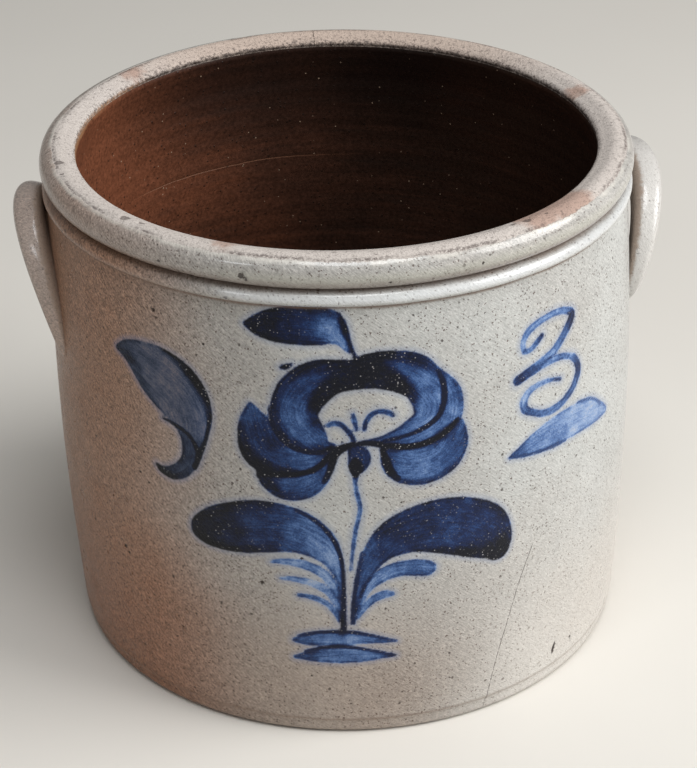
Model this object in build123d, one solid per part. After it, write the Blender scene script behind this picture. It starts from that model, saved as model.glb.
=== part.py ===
from build123d import *
import math
import os

# A three-gallon stoneware crock: a thrown, open body with a rolled rim, a thin brown slip
# lining and two lug handles that are arched over and pressed onto the wall.
# Frame: origin at the centre of the base, +Z up, +X through the right lug, and the painted
# front faces -Y. All lengths are in millimetres and all angles in degrees.

# Thrown body, outside
height = 250.0
rim_radius = 140.0
rim_overhang = 2.4
belly_swell = 3.6
belly_height = 112.0
foot_setback = 0.1

# Foot, bevelled with a tool while the pot turned on the wheel
foot_bevel = 2.6
foot_height = 7.5
foot_edge = 1.0

# Rolled rim, read downwards from the crest, then the bead under it
rim_width = 17.5
crest_inset = 8.4
lip_drop = 2.6
lip_edge = 1.6
band_drop = 8.0
groove_drop = 15.8
groove_depth = 2.4
bead_drop = 19.4
bead_swell = 1.6
bead_foot_drop = 23.0

# Inside of the body
wall_thickness = 11.0
base_thickness = 12.0
inside_corner = 20.0

# Brown slip lining
slip_thickness = 0.6
slip_drop = 6.0

# Lug handles: a flattened roll of clay that thins towards its pressed tips
lug_crown_drop = 27.5
lug_tip_drop = 94.0
lug_half_span = 17.0
lug_thickness = 14.6
lug_width = 22.0
lug_gap = 3.2
tip_share = 0.30
taper_power = 0.7
tip_sink = 0.8
lug_stations = 13

# A cutting solid runs this far past the face that it cuts through
overrun = 5.0

cubic_mm_per_litre = 1e6
quarter_turn = 90.0
half_turn = 180.0

# Radii and heights that follow from the sizes above
neck_radius = rim_radius - rim_overhang
belly_radius = neck_radius + belly_swell
foot_radius = neck_radius - foot_setback
mouth_radius = rim_radius - rim_width
lip_height = height - lip_drop
neck_height = height - bead_foot_drop
groove_height = height - groove_drop


def outside_solid():
    """The thrown shape as if it were solid, from the foot bevel to the rolled rim."""
    foot_ring = (foot_radius - foot_bevel, 0)
    foot_top = (foot_radius, foot_height)
    neck = (neck_radius, neck_height)
    groove = (neck_radius - groove_depth, groove_height)
    crest = (rim_radius - crest_inset, height)
    with BuildSketch(Plane.XZ) as section:
        with BuildLine():
            Polyline((0, 0), foot_ring, foot_top)
            ThreePointArc(foot_top, (belly_radius, belly_height), neck)
            ThreePointArc(neck, (neck_radius + bead_swell, height - bead_drop), groove)
            ThreePointArc(groove, (rim_radius, height - band_drop), crest)
            Polyline(crest, (mouth_radius, lip_height), (0, lip_height), (0, 0))
        make_face()
    return revolve(section.sketch, Axis.Z)


def cavity_solid(inset, top):
    """The hollow, drawn in by an even inset and cut off level at the given height."""
    floor = base_thickness + inset
    corner = inside_corner - inset
    side_radius = foot_radius - wall_thickness - inset
    throat = (neck_radius - wall_thickness - inset, neck_height)
    lip_radius = mouth_radius - inset
    corner_end = (side_radius, floor + corner)
    with BuildSketch(Plane.XZ) as section:
        with BuildLine():
            flat = Line((0, floor), (side_radius - corner, floor))
            TangentArc(flat @ 1, corner_end, tangent=flat % 1)
            ThreePointArc(corner_end, (belly_radius - wall_thickness - inset, belly_height), throat)
            Polyline(throat, (lip_radius, lip_height), (lip_radius, height + overrun),
                     (0, height + overrun), (0, floor))
        make_face()
    below_top = Pos(0, 0, top / 2) * Cylinder(rim_radius, top)
    return revolve(section.sketch, Axis.Z) & below_top


def soften(body, radius, level, size):
    """Round the circular edge that lies nearest to a radius and a level."""
    rings = body.edges().filter_by(GeomType.CIRCLE)
    ring = rings.sort_by(lambda edge: abs(edge.radius - radius) + abs(edge.center().Z - level))[0]
    return fillet(ring, size)


def crock_body():
    """The fired clay vessel: outside shape less the hollow, with lip and foot softened."""
    body = outside_solid() - cavity_solid(0, height + overrun)
    body = soften(body, mouth_radius, lip_height, lip_edge)
    return soften(body, foot_radius - foot_bevel, 0, foot_edge)


def slip_lining():
    """The brown slip, an even coat on the hollow that ends a little below the lip."""
    return cavity_solid(0, height - slip_drop) - cavity_solid(slip_thickness, height)


def wall_radius(level):
    """Outside radius of the bulging wall at a level, on its arc from foot to neck."""
    arc = ThreePointArc((foot_radius, foot_height), (belly_radius, belly_height),
                        (neck_radius, neck_height))
    offset = level - arc.arc_center.Y
    return arc.arc_center.X + math.sqrt(arc.radius ** 2 - offset ** 2)


def lug_section(turn):
    """One flattened round section of the lug, at a turn round its arch from the crown."""
    arch = math.cos(math.radians(turn))
    lead = math.sin(math.radians(turn))
    size_share = tip_share + (1 - tip_share) * max(0.0, arch) ** taper_power
    tip_level = height - lug_tip_drop
    crown_level = height - lug_crown_drop
    tip_radius = wall_radius(tip_level) - lug_thickness * tip_share / 2 - tip_sink
    crown_radius = wall_radius(crown_level) + lug_gap + lug_thickness / 2
    radius = tip_radius + (crown_radius - tip_radius) * arch
    bearing = math.radians(lug_half_span * lead)
    outward = Vector(math.cos(bearing), math.sin(bearing), 0)
    sideways = Vector(-math.sin(bearing), math.cos(bearing), 0)
    middle = outward * radius + Vector(0, 0, tip_level + (crown_level - tip_level) * arch)
    along = (sideways * (radius * math.radians(lug_half_span) * arch)
             - outward * ((crown_radius - tip_radius) * lead)
             - Vector(0, 0, (crown_level - tip_level) * lead)).normalized()
    place = Plane(origin=middle, x_dir=outward - along * outward.dot(along), z_dir=along)
    return place * Ellipse(lug_thickness / 2 * size_share, lug_width / 2 * size_share)


def lug_handle():
    """The right-hand lug: its sections lofted over the arch and trimmed to the wall."""
    step = half_turn / (lug_stations - 1)
    sections = [lug_section(index * step - quarter_turn) for index in range(lug_stations)]
    return loft(sections) - outside_solid()


right_lug = lug_handle()
parts = {
    "crock_body": crock_body(),
    "slip_lining": slip_lining(),
    "handle_right": right_lug,
    "handle_left": right_lug.rotate(Axis.Z, half_turn),
}

os.makedirs("parts", exist_ok=True)
for name, shape in parts.items():
    export_step(shape, "parts/" + name + ".step")
    print(name, "%.3f litres of clay" % (shape.volume / cubic_mm_per_litre))

brim_fill = cavity_solid(slip_thickness, lip_height).volume / cubic_mm_per_litre
groove_fill = cavity_solid(slip_thickness, groove_height).volume / cubic_mm_per_litre
print("holds %.2f litres to the brim and %.2f litres to the groove" % (brim_fill, groove_fill))
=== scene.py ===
import bpy
import math
import numpy as np
from mathutils import Matrix, Vector


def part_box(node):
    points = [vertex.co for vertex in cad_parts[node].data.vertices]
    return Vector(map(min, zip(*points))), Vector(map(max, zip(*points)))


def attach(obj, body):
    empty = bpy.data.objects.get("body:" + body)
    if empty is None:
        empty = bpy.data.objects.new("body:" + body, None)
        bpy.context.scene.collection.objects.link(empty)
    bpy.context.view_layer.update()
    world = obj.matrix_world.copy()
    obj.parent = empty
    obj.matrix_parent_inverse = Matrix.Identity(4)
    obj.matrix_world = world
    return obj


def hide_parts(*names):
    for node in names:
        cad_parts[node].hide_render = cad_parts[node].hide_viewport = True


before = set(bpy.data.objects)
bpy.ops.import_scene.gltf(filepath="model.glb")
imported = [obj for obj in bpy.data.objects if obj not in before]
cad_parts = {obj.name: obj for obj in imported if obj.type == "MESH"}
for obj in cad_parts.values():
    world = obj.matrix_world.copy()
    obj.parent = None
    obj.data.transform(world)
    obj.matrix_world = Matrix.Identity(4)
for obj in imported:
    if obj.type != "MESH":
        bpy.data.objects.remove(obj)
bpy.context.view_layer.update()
mm = 0.001
print("frame loaded:", sorted(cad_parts))


# Modelling helpers

def deselectAll():
    if bpy.context.object and bpy.context.object.mode != "OBJECT":
        bpy.ops.object.mode_set(mode="OBJECT")
    bpy.ops.object.select_all(action="DESELECT")


def namePiece(name, slotName, *nodes):
    piece = bpy.context.object
    piece.name = piece.data.name = name
    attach(piece, "root")
    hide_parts(*nodes)
    return piece


# points evenly spaced on the arc that starts, passes the middle and ends, without its start
def arcPoints(start, middle, end, spacing):
    (ax, az), (bx, bz), (cx, cz) = start, middle, end
    slope = 2 * (ax * (bz - cz) + bx * (cz - az) + cx * (az - bz))
    a2, b2, c2 = ax * ax + az * az, bx * bx + bz * bz, cx * cx + cz * cz
    centreX = (a2 * (bz - cz) + b2 * (cz - az) + c2 * (az - bz)) / slope
    centreZ = (a2 * (cx - bx) + b2 * (ax - cx) + c2 * (bx - ax)) / slope
    radius = math.hypot(ax - centreX, az - centreZ)
    turns = [math.atan2(z - centreZ, x - centreX) for x, z in (start, middle, end)]
    for index in (1, 2):  # the three bearings run on one way, without a jump of a full turn
        turns[index] = turns[index - 1] + math.remainder(turns[index] - turns[index - 1], math.tau)
    count = max(2, round(abs(turns[2] - turns[0]) * radius / spacing))
    sweep = [turns[0] + (turns[2] - turns[0]) * step / count for step in range(1, count + 1)]
    return [(centreX + radius * math.cos(turn), centreZ + radius * math.sin(turn)) for turn in sweep]


# a smooth line through given rows of numbers, evenly spaced by its first two columns
def smoothLine(rows, spacing):
    rows = np.array(rows, float)
    knots = np.vstack([2 * rows[0] - rows[1], rows, 2 * rows[-1] - rows[-2]])
    made = []
    for before, here, there, after in zip(knots, knots[1:], knots[2:], knots[3:]):
        count = max(1, round(math.dist(here[:2], there[:2]) / spacing))
        for step in range(count):
            t = step / count
            made.append(0.5 * (2 * here + (there - before) * t
                               + (2 * before - 5 * here + 4 * there - after) * t ** 2
                               + (3 * here - before - 3 * there + after) * t ** 3))
    return np.array(made + [rows[-1]])


# Shader helpers. A value is a number or a wire, which is a node's output

def put(tree, kind, inputs=None, **settings):
    made = tree.nodes.new("ShaderNode" + kind)
    for name, value in settings.items():
        setattr(made, name, value)
    for name, value in (inputs or {}).items():
        feed(made.inputs[name], value)
    return made


def feed(socket, value):
    if isinstance(value, bpy.types.NodeSocket):
        socket.id_data.links.new(value, socket)
    else:
        socket.default_value = value


# the node tree that the first wire among these values is in
def treeOf(*values):
    return next(value.id_data for value in values if isinstance(value, bpy.types.NodeSocket))


def calc(operation, *values):
    made = put(treeOf(*values), "Math", operation=operation)
    for socket, value in zip(made.inputs, values):
        feed(socket, value)
    return made.outputs[0]


def times(value, *others):
    for other in others:
        value = calc("MULTIPLY", value, other)
    return value


def addTo(base, value, gain=1.0):
    return calc("MULTIPLY_ADD", value, gain, base)


# a noise, which runs from 0 to 1, swings evenly about the base by the amount
def waver(value, amount, base=0.0):
    return addTo(base, calc("SUBTRACT", value, 0.5), amount)


def spread(value, low, high, first, last, easing="LINEAR"):
    inputs = {"Value": value, "From Min": low, "From Max": high, "To Min": first, "To Max": last}
    return put(treeOf(value), "MapRange", inputs, interpolation_type=easing).outputs["Result"]


# 0 at the first limit and before it, 1 at the second and beyond it, and eased from one to the other
def between(value, low, high):
    return spread(value, low, high, 0.0, 1.0, "SMOOTHSTEP")


def noise(where, scale, detail=2.0, roughness=0.5, distortion=0.0, output="Fac"):
    inputs = {"Vector": where, "Scale": scale, "Detail": detail, "Roughness": roughness,
              "Distortion": distortion}
    return put(where.id_data, "TexNoise", inputs).outputs[output]


def stretch(where, scale):
    return put(where.id_data, "Mapping", {"Vector": where, "Scale": scale}).outputs["Vector"]


# the place of a point on its piece, in metres: whole, and as X, Y and Z
def ownPlace(tree):
    where = put(tree, "TexCoord").outputs["Object"]
    return where, put(tree, "SeparateXYZ", {"Vector": where}).outputs


def attribute(tree, name, output="Fac"):
    return put(tree, "Attribute", attribute_name=name).outputs[output]


# a colour as it is read off a screen, 0 to 255, for a shader
def tint(colour):
    def linear(share):
        return share / 12.92 if share <= 0.04045 else ((share + 0.055) / 1.055) ** 2.4
    return tuple(linear(value / 255) for value in colour) + (1.0,)


# a tuple among the two colours is one read off a screen
def mixColour(factor, first, second, kind="MIX"):
    made = put(treeOf(factor, first, second), "Mix", data_type="RGBA", blend_type=kind)
    for place, value in ((0, factor), (6, first), (7, second)):
        feed(made.inputs[place], tint(value) if isinstance(value, tuple) else value)
    return made.outputs[2]


# a shade over a colour, as strong as its masks and amounts multiplied
def stain(colour, shade, *masks):
    return mixColour(times(*masks), colour, shade)


# a colour made darker or lighter where a pattern is low or high
def dapple(colour, pattern, low, high, darkest, lightest):
    return mixColour(1.0, colour, spread(pattern, low, high, darkest, lightest), "MULTIPLY")


def newGroup(name, inputs, outputs):
    group = bpy.data.node_groups.new(name, "ShaderNodeTree")
    for inOut, sockets in (("INPUT", inputs), ("OUTPUT", outputs)):
        for label, kind in sockets.items():
            group.interface.new_socket(label, in_out=inOut, socket_type="NodeSocket" + kind)
    return group, group.nodes.new("NodeGroupInput").outputs, group.nodes.new("NodeGroupOutput").inputs


def useGroup(tree, group, inputs):
    made = tree.nodes.new("ShaderNodeGroup")
    made.node_tree = group
    for name, value in inputs.items():
        feed(made.inputs[name], value)
    return made.outputs


def newMaterial(name):
    material = bpy.data.materials.new(name)
    material.use_nodes = True
    return material, material.node_tree, material.node_tree.nodes["Principled BSDF"]


def finishShader(shader, look, colour, roughness, height):
    feed(shader.inputs["Base Color"], colour)
    feed(shader.inputs["Roughness"], roughness)
    shader.inputs["Specular IOR Level"].default_value = look["specular"]
    bump = put(shader.id_data, "Bump", {"Height": height, "Distance": mm, "Strength": look["bump"]})
    feed(shader.inputs["Normal"], bump.outputs["Normal"])


# round specks, at most one to a cell of the pattern: Size is a speck's radius and Core its solid
# middle, as shares of a cell, and Rarity is the share of the cells that stay empty
def makeSpecks():
    inputs = {"Vector": "Vector", "Scale": "Float", "Size": "Float", "Core": "Float", "Rarity": "Float"}
    group, given, result = newGroup("specks", inputs, {"Mask": "Float"})
    cells = put(group, "TexVoronoi", {"Vector": given["Vector"], "Scale": given["Scale"]}).outputs
    chance = put(group, "SeparateColor", {"Color": cells["Color"]}).outputs["Red"]
    speck = between(cells["Distance"], given["Size"], given["Core"])
    feed(result["Mask"], times(speck, calc("GREATER_THAN", chance, given["Rarity"])))
    return group


specks = makeSpecks()


def addSpecks(where, look, colour, height):
    for scale, size, rarity, shadeName in look["specks"]:
        inputs = {"Vector": where, "Scale": scale, "Size": size, "Core": size * look["speckCore"],
                  "Rarity": rarity}
        mask = useGroup(where.id_data, specks, inputs)["Mask"]
        colour = stain(colour, look[shadeName], mask, look["speckStrength"])
        height = addTo(height, mask, look["speckRise"])
    return colour, height


# The camera and the light

viewPoint = {
    "bearing": 7.8,      # degrees that the camera stands to the left of the crock's front
    "distance": 971.5,   # mm from the middle of the rim
    "height": 661.1,
    "pitch": -29.45,
    "yaw": 0.256,
    "roll": -0.69,
    "focalLength": 104.4,
    "sensorWidth": 36.0,
    "nearest": 0.05,     # metres, the camera sees from here
    "farthest": 50.0,
    "rimSetOver": -1.6,  # mm, how far the lean of the crock carries the rim to the left
}


def setCamera():
    across = Vector((math.cos(math.radians(viewPoint["bearing"])),
                     -math.sin(math.radians(viewPoint["bearing"])), 0))
    away = Vector((-across.y, across.x, 0))
    spot = (across * viewPoint["rimSetOver"] - away * viewPoint["distance"]
            + Vector((0, 0, viewPoint["height"]))) * mm
    camera = bpy.data.objects.new("camera", bpy.data.cameras.new("camera"))
    bpy.context.scene.collection.objects.link(camera)
    turn = -math.radians(viewPoint["bearing"] + viewPoint["yaw"])
    camera.matrix_world = (Matrix.Translation(spot) @ Matrix.Rotation(turn, 4, "Z")
                           @ Matrix.Rotation(math.radians(90 + viewPoint["pitch"]), 4, "X")
                           @ Matrix.Rotation(math.radians(viewPoint["roll"]), 4, "Z"))
    camera.data.lens = viewPoint["focalLength"]
    camera.data.sensor_width = viewPoint["sensorWidth"]
    camera.data.clip_start, camera.data.clip_end = viewPoint["nearest"], viewPoint["farthest"]
    bpy.context.scene.camera = camera


studio = {
    "floorSize": 9.0,
    "floorColour": (226, 222, 215),
    "backColour": (232, 230, 226),
    "floorRoughness": 0.75,
    "mottle": 8,         # how much darker the floor is in its faint clouds
    "fillLevel": 0.2,
    "aimLevel": 0.12,
    "lamps": {  # name: (place, size, watts, colour), each aimed at the middle of the crock
        "keyLamp": ((1.95, -0.75, 1.4), 1.8, 57, (1.0, 0.995, 0.985)),
        "topLamp": ((0.1, -0.75, 2.3), 1.2, 26, (0.97, 0.985, 1.0)),
        "sideLamp": ((-1.6, -1.5, 1.6), 0.5, 5, (0.93, 0.97, 1.0)),
    },
}


def lightStudio():
    deselectAll()
    bpy.ops.mesh.primitive_plane_add(size=studio["floorSize"])
    floor = bpy.context.object
    floor.name = "floor"
    material, tree, shader = newMaterial("paleFloor")
    cloud = noise(put(tree, "TexCoord").outputs["Object"], 3.0, 3)
    darker = tuple(value - studio["mottle"] for value in studio["floorColour"])
    feed(shader.inputs["Base Color"], mixColour(cloud, studio["floorColour"], darker))
    shader.inputs["Roughness"].default_value = studio["floorRoughness"]
    floor.data.materials.append(material)

    for name, (place, lampSize, watts, colour) in studio["lamps"].items():
        lamp = bpy.data.lights.new(name, "AREA")
        lamp.shape, lamp.size, lamp.energy, lamp.color = "DISK", lampSize, watts, colour
        holder = bpy.data.objects.new(name, lamp)
        holder.location = place
        aim = Vector((0, 0, studio["aimLevel"])) - Vector(place)
        holder.rotation_euler = aim.to_track_quat("-Z", "Y").to_euler()
        bpy.context.scene.collection.objects.link(holder)

    world = bpy.data.worlds.new("studio")
    world.use_nodes = True
    bpy.context.scene.world = world
    tree = world.node_tree
    background = tree.nodes["Background"]
    seen = put(tree, "LightPath").outputs["Is Camera Ray"]
    background.inputs["Color"].default_value = tint(studio["backColour"])
    feed(background.inputs["Strength"], spread(seen, 0.0, 1.0, studio["fillLevel"], 1.0))
    bpy.context.scene.view_settings.view_transform = "Standard"


# The crock itself. Sizes in mm, and the outer ones follow the frame

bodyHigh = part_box("crock_body")[1] / mm
crock = {
    "tuckIn": 0.45,        # the wall stays this far inside the CAD body, to leave room for its waves
    "neckInset": 3.6,      # the neck is this much narrower than the belly
    "footInset": 3.7,
    "bellyLevel": 112.0,
    "neckLevel": 227.0,
    "footLevel": 10.5,
    "rimProud": 2.4,       # the rim stands out this much from the neck
    "grooveDepth": 2.9,
    "grooveLevel": 234.4,
    "mouthInset": 17.5,
    "lipLevel": 247.3,
    "wallThickness": 11.0,
    "floorThickness": 12.0,
    "cornerRadius": 20.0,
    # given points, each as (out, up) from the radius and level that the outline names beside them
    "baseCurve": [(-8, 0), (-4.4, 0.1), (-2.2, 1), (-1.2, 2.8), (-1.1, 5.2), (-0.7, 7.4), (0.05, 9)],
    "beadCurve": [(0, 0), (1.3, 0.8), (2.2, 2), (1.9, 3.8), (0.7, 5.6), (-1.4, 6.9)],
    "bandCurve": [(-3.4, -14.9), (-1.2, -12.9), (-0.1, -10.2), (0, -7.4), (-1.2, -3.9), (-4.2, -1.4),
                  (-8, -0.5), (-10.6, -0.8)],
    "lipCurve": [(4, 0.9), (1.4, 0), (0.3, -1), (0, -2.4)],
    "standInset": 16.0,    # inside the ring that it stands on, the base is a little hollow
    "hollowLevels": [0.9, 0.8, 0.5],
    "fineRow": 1.15,       # mm between the rows of points on the painted wall
    "paintedFrom": 40.0,   # below this level the rows thin out
    "thinning": 3,
    "footRow": 1.3,
    "beadRow": 0.84,
    "rimRow": 1.2,
    "hiddenRow": 12.0,     # under the lining and on the rounded corner of the floor
    "cornerRow": 4.0,
    "fineFrom": -50.0,     # degrees, the painted sector that gets the finest columns
    "fineTo": 62.0,
    "fineColumns": 250,
    "otherColumns": 134,
    "weld": 0.02,          # mm, points closer than this become one
    "lean": 3.2,           # mm, how far the base stands to the right of the rim
    "backReach": 1.2,      # mm, the rim was pushed out and up a little at the back,
    "backRise": 0.45,
    "backFrom": 205.0,     # from this level up, and fully this much higher
    "backOver": 35.0,
    "wavesOver": 30.0,     # mm over which the waves begin above the foot
    "wavesOut": 100.0,     # mm from the axis, where they reach their full size
    "waves": [             # of the wall: (mm, times round, turn for each mm of level, start)
        (0.2, 2, 0, 0.8), (0.14, 3, 1 / 60, 0), (0.1, 1, 1 / 19, 0)],
}
height = bodyHigh.z
bellyRadius = bodyHigh.x - crock["tuckIn"]
neckRadius = bellyRadius - crock["neckInset"]
footRadius = bellyRadius - crock["footInset"]
rimRadius = neckRadius + crock["rimProud"]
mouthRadius = bodyHigh.x - crock["neckInset"] + crock["rimProud"] - crock["mouthInset"]


def wallLine(spacing):
    return arcPoints((footRadius, crock["footLevel"]), (bellyRadius, crock["bellyLevel"]),
                     (neckRadius, crock["neckLevel"]), spacing)


def wallRadius(level):
    radii, levels = zip(*wallLine(2.0))
    return float(np.interp(level, levels, radii))


def curveFrom(name, radius, level):
    return [(radius + out, level + up) for out, up in crock[name]]


# the outside from the middle of the base up to the lip, then the inside down to its middle
def bodyOutline():
    foot = (footRadius, crock["footLevel"])
    groove = (neckRadius - crock["grooveDepth"], crock["grooveLevel"])
    base = smoothLine(curveFrom("baseCurve", footRadius, 0) + [foot], crock["footRow"])
    bead = smoothLine(curveFrom("beadCurve", neckRadius, crock["neckLevel"]) + [groove], crock["beadRow"])
    band = smoothLine([groove] + curveFrom("bandCurve", rimRadius, height)
                      + curveFrom("lipCurve", mouthRadius, crock["lipLevel"]), crock["rimRow"])
    wall = [spot for index, spot in enumerate(wallLine(crock["fineRow"]))
            if spot[1] > crock["paintedFrom"] or index % crock["thinning"] == crock["thinning"] - 1]
    points = list(zip((0, footRadius * 0.5, footRadius - crock["standInset"]), crock["hollowLevels"]))
    for line in (base, wall, bead[1:], band[1:]):
        points += [tuple(spot) for spot in line]
    insideRadius = footRadius - crock["wallThickness"]
    throat = (neckRadius - crock["wallThickness"], crock["neckLevel"])
    corner = (insideRadius, crock["floorThickness"] + crock["cornerRadius"])
    slope = crock["cornerRadius"] * (1 - math.sqrt(0.5))
    points += [throat]
    points += arcPoints(throat, (bellyRadius - crock["wallThickness"], crock["bellyLevel"]), corner,
                        crock["hiddenRow"])
    points += arcPoints(corner, (insideRadius - slope, crock["floorThickness"] + slope),
                        (insideRadius - crock["cornerRadius"], crock["floorThickness"]),
                        crock["cornerRow"])
    return points + [(0, crock["floorThickness"])]


# one point is extruded along the outline, and the line is turned round Z, sector by sector
def turnOutline(outline, sectors):
    turned = []
    for begin, end, columns in sectors:
        deselectAll()
        start = math.radians(begin)
        outward = Vector((math.sin(start), -math.cos(start), 0))
        places = [(outward * radius + Vector((0, 0, level))) * mm for radius, level in outline]
        bpy.ops.mesh.primitive_plane_add(size=mm, location=(0, 0, 0))
        sector = bpy.context.object
        bpy.ops.object.mode_set(mode="EDIT")
        bpy.ops.mesh.merge(type="CENTER")
        bpy.ops.transform.translate(value=places[0])
        for here, there in zip(places, places[1:]):
            bpy.ops.mesh.extrude_vertices_move(TRANSFORM_OT_translate={"value": there - here})
        bpy.ops.object.mode_set(mode="OBJECT")
        screw = sector.modifiers.new("turn", "SCREW")
        screw.angle, screw.steps = math.radians(end - begin), columns
        screw.render_steps = columns
        bpy.ops.object.modifier_apply(modifier="turn")
        turned.append(sector)
    for sector in turned:
        sector.select_set(True)
    if len(turned) > 1:
        bpy.ops.object.join()
    bpy.ops.object.mode_set(mode="EDIT")
    bpy.ops.mesh.select_all(action="SELECT")
    bpy.ops.mesh.remove_doubles(threshold=crock["weld"] * mm)
    bpy.ops.mesh.normals_make_consistent(inside=False)
    bpy.ops.object.mode_set(mode="OBJECT")
    bpy.ops.object.shade_smooth()
    return bpy.context.object


def readPoints(piece):
    places = np.zeros(len(piece.data.vertices) * 3, np.float32)
    piece.data.vertices.foreach_get("co", places)
    return places.reshape(-1, 3).astype(float) / mm


def writePoints(piece, places):
    piece.data.vertices.foreach_set("co", (places * mm).astype(np.float32).ravel())
    piece.data.update()


# one number or one vector for each point
def storeValues(piece, name, values):
    kind, field = ("FLOAT_VECTOR", "vector") if values.ndim == 2 else ("FLOAT", "value")
    layer = piece.data.attributes.new(name, kind, "POINT")
    layer.data.foreach_set(field, values.astype(np.float32).ravel())


# The cobalt painting. Each brush stroke is a list of (across, level, half width, depth of colour):
# across is in mm along the wall to the right of the design's middle, level is in mm above the base

cobalt = {
    "bearing": -7.8,   # degrees, the middle of the design as seen from the crock's front
    "wallRadius": 140.0,
    "wallSkin": 1.5,       # mm, what lies this far inside the neck's radius isn't the outside
    "halfSpan": 165.0,     # the part of the wall that the strokes can reach
    "lowest": 35.0,
    "highest": 229.0,
    "spacing": 0.6,        # mm between the places where a stroke is measured
    "slimWidth": 2.4,      # strokes with less half width than this are thickened a little, by up to
    "slimGain": 0.5,       # this, because the wall's points would otherwise miss their middle
    "reach": 8.0,          # mm, how far past its edge a stroke is still measured
    "cover": 0.999,
    "washSoftness": 1.6,   # mm over which the edge of a pass fades
    "shadeSoftness": 4.6,
    "streakStep": 9.0,     # from one stroke to the next, so that their streaks differ
}

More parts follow.
